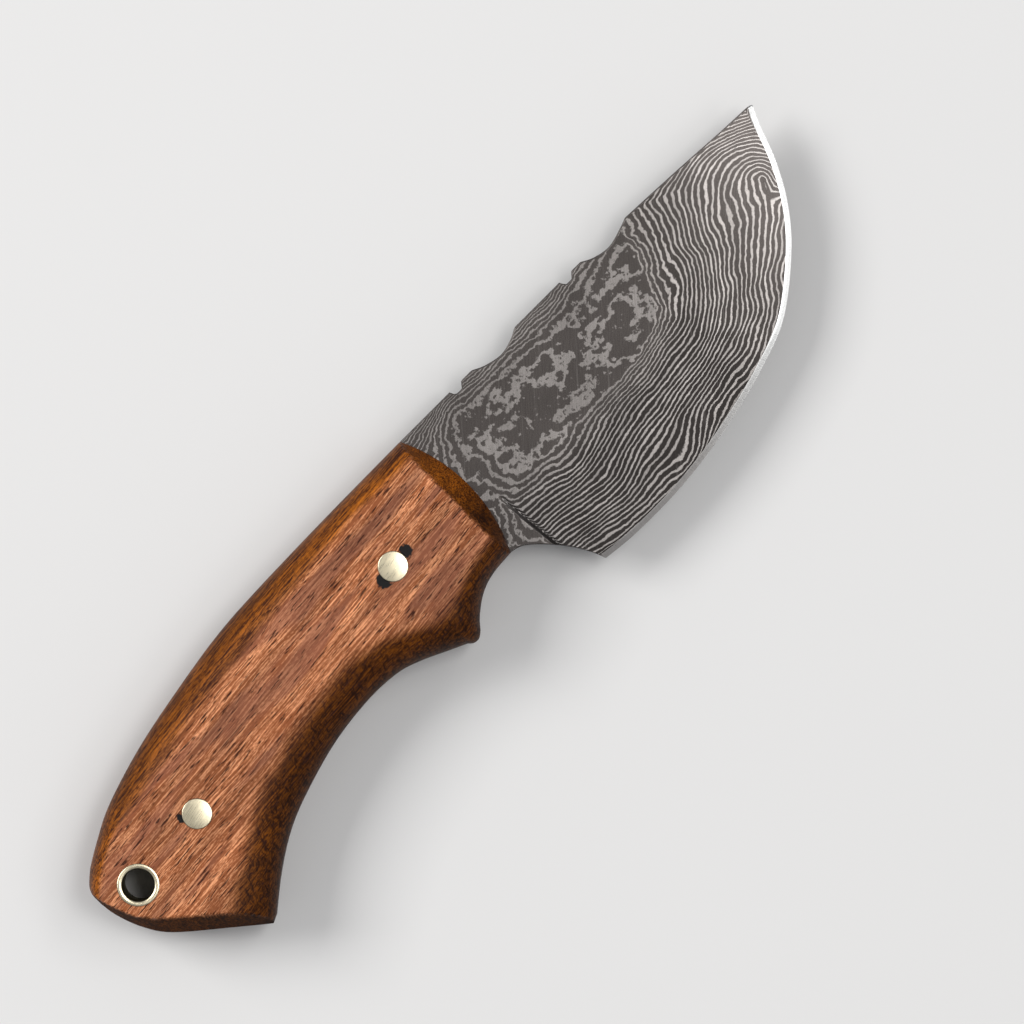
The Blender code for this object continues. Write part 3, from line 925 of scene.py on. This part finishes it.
def polished_brass(brush_marks, smudges):
    """Pale polished brass, darker and rougher further down inside the tube."""
    settings = bpy.context.scene.knife_brass
    tree, shader, place = new_material("polished_brass", 1.0, 0.3)
    height = maths(tree, "ABSOLUTE", axes(tree, place)[2])
    marks = use_group(tree, brush_marks, Place=place, Turn=BRASS_BRUSHING, Fineness=6.0)
    clouds = use_group(tree, smudges, Place=place, Size=3.0)["Clouds"]
    # The brass gets darker and rougher further down the tube's bore from its rim.
    inside = remap(tree, height, HALF_HANDLE - 0.25, HALF_HANDLE - 1.6)
    deeper_in_bore = product(tree, inside, remap(tree, clouds, 0.0, 1.0, 0.75, 1.0))
    clean = remap(tree, clouds, 0.1, 0.9)
    colour = blend(tree, clean, times(settings.pale, 0.82), settings.pale)
    colour = blend(tree, deeper_in_bore, colour, settings.dull)
    rough = remap(tree, marks["Marks"], 0.3, 0.7, 0.24, 0.38)
    rough = total(tree, rough, product(tree, deeper_in_bore, 0.2))
    relief = total(tree, marks["Marks"], marks["Deep"])
    feed(tree, shader, colour, rough, bump(tree, relief, 0.3, 0.01 * MM))


def finish_of(name):
    """A material by name. They are all made when the first is asked for."""
    if name not in bpy.data.materials:
        brush_marks = brush_marks_group()
        smudges = smudges_group()
        layered_steel(brush_marks, smudges)
        honed_steel(brush_marks, smudges)
        oiled_wood(smudges)
        black_glue(smudges)
        polished_brass(brush_marks, smudges)
    return bpy.data.materials[name]


# ---------------- the blade


def bevel_half(x, y):
    """Half the blade's thickness on the bevel plane, in millimetres."""
    count = 900
    blur = 90
    bottom = resampled(curve_through(GRIND_BOTTOM), count)
    top = resampled(curve_through(GRIND_TOP), 60)
    width, opposite = nearest(bottom, top[:, 0], top[:, 1])
    order = np.argsort(opposite, kind="stable")
    rise = ((top[:, 2] - GRIND_FOOT_HALF) / width)[order]
    spread = np.interp(np.arange(-blur, count + blur), opposite[order], rise)
    window = np.hanning(2 * blur + 1)
    spread = np.convolve(spread, window / window.sum(), "valid")
    gap, number = nearest(bottom, x, y)
    return GRIND_FOOT_HALF + spread[number] * gap


def steel_half(x, y, spine_gap, edge_gap, choil_gap):
    """Half the blade's thickness everywhere, in millimetres."""
    settings = bpy.context.scene.knife_steel
    half = soft_min(bevel_half(x, y), np.full_like(x, HALF_STEEL), 0.03)
    share = (y - PLUNGE_FOOT[1]) / (PLUNGE_TOP[1] - PLUNGE_FOOT[1])
    wall_x = PLUNGE_FOOT[0] + (PLUNGE_TOP[0] - PLUNGE_FOOT[0]) * np.minimum(share, 1.0)
    ahead = x - wall_x
    half = HALF_STEEL + (half - HALF_STEEL) * smooth_step(ahead / PLUNGE_RUN)
    depth = np.clip(HALF_STEEL - half, 0.0, GROOVE_DEPTH)
    half = half - np.exp(-(((ahead - GROOVE_AT) / GROOVE_HALF) ** 2)) * depth
    bevel = settings.edge_bevel / MM
    honed = settings.edge_half / MM + HONED_SLOPE * edge_gap
    half = np.where(edge_gap < bevel * 1.6, np.minimum(half, honed), half)
    soft = settings.spine_break / MM
    corner_gap = np.minimum(spine_gap, choil_gap)
    break_share = np.clip(1.0 - corner_gap / (2.0 * soft), 0.0, 1.0)
    return half - soft * break_share**2


def column_ends(step):
    """The lower and upper end of each column of the blade's grid, butt to tip."""
    step_on = np.arange(FOOT_CHOIL[0], FAN_FROM_X, step)[1:]
    straight = np.concatenate([merged(TANG_COLUMNS), merged(BLADE_COLUMNS, step_on)])
    bottom_line = joined(HANDLE_BOTTOM, BLADE_BOTTOM[1:])
    top_line = joined(HANDLE_TOP, BLADE_TOP[1:])
    low = np.stack([straight, y_at(bottom_line, straight)], 1)
    high = np.stack([straight, y_at(top_line, straight)], 1)
    curved = BLADE_BOTTOM[BLADE_BOTTOM[:, 0] >= FAN_FROM_X]
    curved = np.vstack([[(FAN_FROM_X, y_at(BLADE_BOTTOM, FAN_FROM_X))], curved])
    count = int(along(curved)[-1] / step) + 2
    fan_low = resampled(curved, count)[:-1]
    fan_x = np.linspace(FAN_FROM_X, BLADE_TOP[-1, 0], count)[:-1]
    fan_high = np.stack([fan_x, y_at(BLADE_TOP, fan_x)], 1)
    tip = BLADE_TOP[-1]
    last_low = tip + np.array([[-0.04, -0.12]])
    last_high = tip + np.array([[-0.08, 0.03]])
    return np.vstack([low, fan_low, last_low]), np.vstack([high, fan_high, last_high])


def honing_line():
    """The edge, run straight back past the heel by six millimetres."""
    edge = curve_through(EDGE)
    back = edge[0] + (edge[0] - edge[6]) / np.linalg.norm(edge[0] - edge[6]) * 6.0
    return resampled(np.vstack([back[None], edge]), EDGE_POINTS)


def column_places(low, high, bevel):
    """How far up each column every row of the blade's grid lies."""
    tried = np.linspace(0.0, 1.0, 160)[None] ** 2
    x = low[:, :1] + (high[:, :1] - low[:, :1]) * tried
    y = low[:, 1:] + (high[:, 1:] - low[:, 1:]) * tried
    gaps, _ = nearest(honing_line(), x, y)
    honed = np.array([np.interp(bevel, gap, tried[0]) for gap in gaps])
    honed = np.clip(honed, 0.012, 0.5)
    length = np.linalg.norm(high - low, axis=1)
    top = resampled(curve_through(GRIND_TOP), 400)
    grind_y = y_at(top[top[:, 0] < 65.0][:, :2], low[:, 0])
    ground = (grind_y - low[:, 1]) / np.maximum(high[:, 1] - low[:, 1], 0.1)
    ground = np.clip(ground, honed + 0.3, 0.86)
    # Behind the plunge there is no bevel, and the rows are only spread out
    ground = np.where(low[:, 0] < 10.0, 0.6, ground)
    last = 1.0 - np.minimum(0.5 / length, 0.05)
    honed, ground, last = honed[:, None], ground[:, None], last[:, None]
    on_honed = honed * np.linspace(0.0, 1.0, 6)[:-1]
    on_ground = honed + (ground - honed) * np.linspace(0.0, 1.0, 46)[:-1]
    on_flat = ground + (last - ground) * np.linspace(0.0, 1.0, 34)
    on_break = 1.0 - (1.0 - last) * np.array([0.6, 0.3, 0.12, 0.0])
    return np.hstack([on_honed, on_ground, on_flat, on_break])


def make_blade():
    """Model the blade and tang as one grid, doubled over and ground to its edge."""
    settings = bpy.context.scene.knife_steel
    low, high = column_ends(settings.grid_step / MM)
    share = column_places(low, high, settings.edge_bevel / MM).T
    x = low[None, :, 0] + (high - low)[None, :, 0] * share
    y = low[None, :, 1] + (high - low)[None, :, 1] * share
    edge_gap, number = nearest(honing_line(), x, y)
    length = np.linalg.norm(high - low, axis=1)[None]
    spine_gap = length * (1.0 - share)
    behind = x < FOOT_CHOIL[0]
    choil_gap = np.where(x < HEEL[0] - 0.6, length * share, FAR)
    edge_gap = np.where(behind, FAR, edge_gap)
    spine_gap = np.where(behind, FAR, spine_gap)
    half = steel_half(x, y, spine_gap, edge_gap, choil_gap)
    half = np.where(behind, HALF_STEEL, half)
    blade = sheet("blade_body", x, y, MIDDLE + half)
    extrude_all(blade)
    place_points(blade, 0, x, y, MIDDLE - half)
    place_points(blade, x.size, x, y, MIDDLE + half)
    store(blade, "edge_run", np.tile(number.ravel() * EDGE_STEP, 2))
    store(blade, "edge_rise", np.tile(edge_gap.ravel(), 2))
    outward(blade)
    honed = np.zeros(len(blade.data.polygons), np.int32)
    gap = np.empty(len(blade.data.vertices), np.float32)
    blade.data.attributes["edge_rise"].data.foreach_get("value", gap)
    reach = settings.edge_bevel / MM * 1.02
    for face in blade.data.polygons:
        honed[face.index] = max(gap[v] for v in face.vertices) < reach
    steels = [finish_of("layered_steel"), finish_of("honed_steel")]
    dress(blade, ["blade"], "steel", *steels)
    blade.data.polygons.foreach_set("material_index", honed)
    drill_all(blade)
    smooth(blade, 14)


# ---------------- the scales


def share_between(foot, ridge, x, y):
    """How far each place lies from one line to another. It goes on past one."""
    from_foot, at_foot = nearest(foot, x, y)
    from_ridge, at_ridge = nearest(ridge, x, y)
    inside = left_of(ridge, at_ridge, x, y)
    outside = ~left_of(foot, at_foot, x, y)
    width = np.where(inside, from_foot - from_ridge, from_foot + from_ridge)
    share = from_foot / np.maximum(width, 0.2)
    return np.where(outside, 0.0, share)


def side_round(gap, reach):
    """Height of a side's quarter round, from nought at the wall to one at the flat."""
    t = np.clip(gap / np.maximum(reach, 0.1), 0.0, 1.0)
    return np.sqrt(np.maximum(1.0 - (1.0 - t) ** 2, 0.0))


def scale_height(x, y):
    """Height of a scale's surface over the tang's middle, in millimetres.

    It also gives how far round a side each place is, and how far on an end face.
    """
    settings = bpy.context.scene.knife_handle
    wall = HALF_STEEL + settings.wall / MM
    foot = HALF_STEEL + settings.foot_step / MM
    rise = HALF_HANDLE - wall
    belly = np.vstack([[(-104.0, -42.0)], [BUTT_CORNER], BELLY_LINE, [(13.0, -6.0)]])
    spine = np.vstack([[(-104.0, 2.5)], HANDLE_TOP, [(13.0, 24.5)]])
    belly_y = y_at(belly, x)
    spine_y = y_at(spine, x)
    belly_reach = y_at(curve_through(BELLY_SHOULDER), x) - belly_y
    spine_reach = spine_y - y_at(curve_through(SPINE_SHOULDER), x)
    sides = np.minimum(
        side_round(y - belly_y, belly_reach), side_round(spine_y - y, spine_reach)
    )
    height = wall + rise * sides
    butt_foot = resampled(curve_through(BUTT_FOOT), 500)
    butt_ridge = resampled(curve_through(BUTT_RIDGE), 500)
    butt = foot + (HALF_HANDLE - foot) * share_between(butt_foot, butt_ridge, x, y)
    front_run = (foot_x(y) - x) / np.maximum(foot_x(y) - FRONT_RIDGE_X, 0.3)
    front = foot + (HALF_HANDLE - foot) * np.maximum(front_run, 0.0)
    soft = settings.ridge / MM
    cut = soft_min(height, soft_min(butt, front, soft), soft)
    fall = np.maximum(
        1.0 - (y - belly_y) / np.maximum(belly_reach, 0.1),
        1.0 - (spine_y - y) / np.maximum(spine_reach, 0.1),
    )
    return cut, np.clip(fall, 0.0, 1.0), np.clip((height - cut) / 0.6, 0.0, 1.0)


def scale_grid(step):
    """Places of a scale's grid in the handle's plane, butt to front foot."""
    butt_run = -99.9 + 3.0 * np.linspace(0.0, 1.0, 14) ** 2
    columns = merged(SCALE_COLUMNS, butt_run, np.arange(-96.9, BOW_FROM_X, step))
    low = y_at(HANDLE_BOTTOM, columns)[:, None]
    high = y_at(HANDLE_TOP, columns)[:, None]
    width = high - low
    low_reach = abs(y_at(curve_through(BELLY_SHOULDER), columns)[:, None] - low)
    high_reach = abs(high - y_at(curve_through(SPINE_SHOULDER), columns)[:, None])
    fit = np.minimum(1.0, 0.9 * width / (low_reach + high_reach))
    low_reach = np.minimum(low_reach * fit, 0.45 * width)
    high_reach = np.minimum(high_reach * fit, 0.45 * width)
    rounded = 1.0 - np.cos(np.linspace(0.0, math.pi / 2, 17))
    flat = np.linspace(0.0, 1.0, 40)[1:-1]
    on_belly = low + low_reach * rounded
    on_flat = low + low_reach + (width - low_reach - high_reach) * flat
    on_spine = (high - high_reach * rounded)[:, ::-1]
    y = np.hstack([on_belly, on_flat, on_spine])
    x = np.repeat(columns[:, None], y.shape[1], 1)

    bow_run = FOOT_SPINE[0] - BOW_FROM_X
    count = int(bow_run / step) + 4
    share = np.arange(1, count + 1)[:, None] / count
    low = y_at(HANDLE_BOTTOM, BOW_FROM_X + share * bow_run)
    high = y_at(HANDLE_TOP, BOW_FROM_X + share * bow_run)
    bow_y = low + (high - low) * (y[-1] - y[-1, 0]) / (y[-1, -1] - y[-1, 0])
    end_x = foot_x(bow_y)
    end_x[:, 0] = FOOT_CHOIL[0]
    bow_x = BOW_FROM_X + share * (end_x - BOW_FROM_X)
    return np.vstack([x, bow_x]).T, np.vstack([y, bow_y]).T


def make_scale(name, node, side):
    """Model one scale as a shaped sheet, pulled down to the tang and filled."""
    settings = bpy.context.scene.knife_handle
    x, y = scale_grid(settings.grid_step / MM)
    base = MIDDLE + side * (HALF_STEEL + settings.glue_line / MM)
    height, fall, end = scale_height(x, y)
    scale = sheet(name, x, y, MIDDLE + side * height)
    edit(scale)
    bpy.ops.mesh.region_to_loop()
    bpy.ops.mesh.extrude_edges_move(TRANSFORM_OT_translate={"value": (0, 0, 0)})
    bpy.ops.transform.resize(
        value=(1, 1, 0), orient_type="GLOBAL", center_override=(0, 0, base * MM)
    )
    bpy.ops.mesh.edge_face_add()
    bpy.ops.object.mode_set(mode="OBJECT")
    across = np.repeat(np.linspace(0.0, 1.0, len(x))[:, None], x.shape[1], 1)
    store(scale, "side_fall", fall, 1.0)
    store(scale, "end_face", end, 0.0)
    store(scale, "to_spine", across, 0.5)
    outward(scale)
    dress(scale, [node], "wood", finish_of("oiled_wood"))
    drill_all(scale)
    smooth(scale, 24)


def make_glue(name, node, side):
    """Model one film of glue as a filled outline, extruded by its thickness."""
    settings = bpy.context.scene.knife_handle
    front = np.linspace(FOOT_CHOIL[1], FOOT_SPINE[1], 40)[1:-1]
    bow = np.stack([foot_x(front), front], 1)
    ring = joined(HANDLE_BOTTOM, bow, HANDLE_TOP[::-1])[:-1]
    near = MIDDLE + side * HALF_STEEL
    deselect()
    bpy.ops.mesh.primitive_circle_add(vertices=len(ring), radius=1.0)
    glue = named(name)
    place_points(glue, 0, ring[:, 0], ring[:, 1], np.full(len(ring), near))
    edit(glue)
    bpy.ops.mesh.edge_face_add()
    bpy.ops.mesh.extrude_region_move(
        TRANSFORM_OT_translate={"value": (0, 0, side * settings.glue_line)}
    )
    bpy.ops.object.mode_set(mode="OBJECT")
    outward(glue)
    dress(glue, [node], "glue", finish_of("black_glue"))
    drill_all(glue)
    smooth(glue, 30)


# ---------------- brass


def make_pin(name, node):
    """Model a pin: a bar with its two rims rolled over."""
    settings = bpy.context.scene.knife_brass
    centre, radius = centre_and_radius(node)
    deselect()
    bpy.ops.mesh.primitive_cylinder_add(
        vertices=96,
        radius=radius,
        depth=2 * centre.z,
        location=centre,
        end_fill_type="NGON",
    )
    pin = named(name)
    bpy.ops.object.transform_apply(location=True, rotation=True, scale=True)
    bpy.ops.object.mode_set(mode="EDIT")
    bpy.ops.mesh.select_mode(type="FACE")
    bpy.ops.mesh.select_all(action="DESELECT")
    shape = bmesh.from_edit_mesh(pin.data)
    for face in shape.faces:
        face.select_set(abs(face.normal.z) > 0.9)
    bmesh.update_edit_mesh(pin.data)
    bpy.ops.mesh.bevel(offset=settings.dome, segments=4, affect="EDGES")
    bpy.ops.object.mode_set(mode="OBJECT")
    outward(pin)
    smooth(pin, 40)
    dress(pin, [node], "brass", finish_of("polished_brass"))


def make_tube(name, node):
    """Model the lanyard tube: a ring profile spun about its own axis."""
    settings = bpy.context.scene.knife_brass
    centre, outer = centre_and_radius(node)
    inner = outer - settings.tube_wall
    lip = settings.lip
    corners = [
        (outer, lip),
        (outer - lip * 0.3, lip * 0.3),
        (outer - lip, 0.0),
        (inner + lip * 2, 0.0),
        (inner + lip * 0.6, lip * 0.6),
        (inner, lip * 2),
    ]
    profile = [(r, 2 * centre.z - down) for r, down in corners]
    profile += reversed(corners)
    deselect()
    bpy.ops.mesh.primitive_circle_add(vertices=len(profile), radius=1.0)
    tube = named(name)
    places = [(centre.x + r, centre.y, z) for r, z in profile]
    for vertex, place in zip(tube.data.vertices, places):
        vertex.co = place
    edit(tube)
    bpy.ops.mesh.spin(
        steps=96, angle=2 * math.pi, center=centre, axis=(0, 0, 1), dupli=False
    )
    bpy.ops.object.mode_set(mode="OBJECT")
    outward(tube)
    smooth(tube, 40)
    dress(tube, [node], "brass", finish_of("polished_brass"))


# ---------------- the stage


def make_floor():
    """A wide, flat, pale floor."""
    deselect()
    bpy.ops.mesh.primitive_grid_add(x_subdivisions=8, y_subdivisions=8, size=6.0)
    floor = bpy.context.object
    floor.name = "studio_floor"
    settings = bpy.context.scene.knife_stage
    made = bpy.data.materials.new("floor_paper")
    made.use_nodes = True
    tree = made.node_tree
    shader = tree.nodes["Principled BSDF"]
    shader.inputs["Roughness"].default_value = 0.9
    place = add(tree, "ShaderNodeTexCoord").outputs["Object"]
    clouds = noise(tree, place, 6.0, 2.0)
    colour = blend(tree, clouds, settings.floor, times(settings.floor, 0.985))
    tree.links.new(colour, shader.inputs["Base Color"])
    floor.data.materials.append(made)


def make_lamp(name, place, target, size, watts):
    """A soft oblong lamp aimed at a point."""
    deselect()
    bpy.ops.object.light_add(type="AREA", location=place)
    lamp = bpy.context.object
    lamp.name = name
    lamp.data.shape = "RECTANGLE"
    lamp.data.size = size[0]
    lamp.data.size_y = size[1]
    lamp.data.energy = watts
    aim = Vector(target) - Vector(place)
    lamp.rotation_euler = aim.to_track_quat("-Z", "Y").to_euler()


def make_world():
    """Even pale light from all round."""
    world = bpy.data.worlds.new("studio_world")
    world.use_nodes = True
    back = world.node_tree.nodes["Background"]
    back.inputs["Color"].default_value = (0.93, 0.95, 1.0, 1.0)
    back.inputs["Strength"].default_value = 0.34
    bpy.context.scene.world = world


def make_camera():
    """The camera, square over the knife, turned so that the tip points up and right."""
    settings = bpy.context.scene.knife_stage
    bpy.ops.object.camera_add(
        location=(0.01065, -0.0006, settings.camera_height + MIDDLE * MM),
        rotation=(0.0, 0.0, math.radians(-45.0)),
    )
    camera = bpy.context.object
    camera.name = "studio_camera"
    camera.data.sensor_width = 36.0
    camera.data.lens = 36.0 * settings.camera_height / settings.view_width
    camera.data.clip_start = 0.05
    bpy.context.scene.camera = camera


# ---------------- operators


class KNIFE_OT_stage(bpy.types.Operator):
    """Add the floor, lamps, world and camera"""

    bl_idname = "knife.stage"
    bl_label = "Stage"

    def execute(self, context):
        context.scene.view_settings.view_transform = "Standard"
        make_floor()
        make_world()
        middle = (0.0, 0.0, 0.01)
        bevel = (0.08, 0.0, 0.01)
        make_lamp("key_lamp", (-0.7, 1.5, 1.6), middle, (1.1, 1.1), 33.0)
        make_lamp("sheen_lamp", (0.50, -0.22, 2.3), bevel, (0.7, 0.5), 12.5)
        make_lamp("tip_lamp", (1.15, -0.08, 1.9), bevel, (0.6, 0.6), 4.6)
        make_lamp("edge_lamp", (0.80, -0.80, 1.9), middle, (0.9, 0.6), 4.6)
        make_camera()
        return {"FINISHED"}


class KNIFE_OT_blade(bpy.types.Operator):
    """Add the blade with its tang"""

    bl_idname = "knife.blade"
    bl_label = "Blade"

    def execute(self, context):
        make_blade()
        return {"FINISHED"}


class KNIFE_OT_scales(bpy.types.Operator):
    """Add both wooden scales"""

    bl_idname = "knife.scales"
    bl_label = "Scales"

    def execute(self, context):
        make_scale("show_scale_wood", "show_side_scale", 1)
        make_scale("back_scale_wood", "back_side_scale", -1)
        return {"FINISHED"}


class KNIFE_OT_glue(bpy.types.Operator):
    """Add both films of glue"""

    bl_idname = "knife.glue"
    bl_label = "Glue"

    def execute(self, context):
        make_glue("show_glue_film", "show_side_glue", 1)
        make_glue("back_glue_film", "back_side_glue", -1)
        return {"FINISHED"}


class KNIFE_OT_brass(bpy.types.Operator):
    """Add the pins and the lanyard tube"""

    bl_idname = "knife.brass"
    bl_label = "Pins and tube"

    def execute(self, context):
        make_pin("front_pin_bar", "front_pin")
        make_pin("rear_pin_bar", "rear_pin")
        make_tube("lanyard_ring", "lanyard_tube")
        return {"FINISHED"}


class KNIFE_PT_panel(bpy.types.Panel):
    """Buttons for the knife's pieces"""

    bl_idname = "KNIFE_PT_panel"
    bl_label = "Skinning Knife"
    bl_space_type = "VIEW_3D"
    bl_region_type = "UI"
    bl_category = "Knife"

    def draw(self, context):
        for operator in OPERATORS:
            self.layout.operator(operator.bl_idname)


SETTINGS = {
    "knife_steel": SteelSettings,
    "knife_handle": HandleSettings,
    "knife_brass": BrassSettings,
    "knife_stage": StageSettings,
}
OPERATORS = (
    KNIFE_OT_stage,
    KNIFE_OT_blade,
    KNIFE_OT_scales,
    KNIFE_OT_glue,
    KNIFE_OT_brass,
)


def register():
    for made in (*SETTINGS.values(), *OPERATORS, KNIFE_PT_panel):
        bpy.utils.register_class(made)
    for name, kind in SETTINGS.items():
        setattr(bpy.types.Scene, name, bpy.props.PointerProperty(type=kind))


def unregister():
    for name in SETTINGS:
        delattr(bpy.types.Scene, name)
    for made in (KNIFE_PT_panel, *reversed(OPERATORS), *SETTINGS.values()):
        bpy.utils.unregister_class(made)


def main():
    """Build everything."""
    register()
    for name in ("stage", "blade", "scales", "glue", "brass"):
        getattr(bpy.ops.knife, name)()


if __name__ == "__main__":
    main()
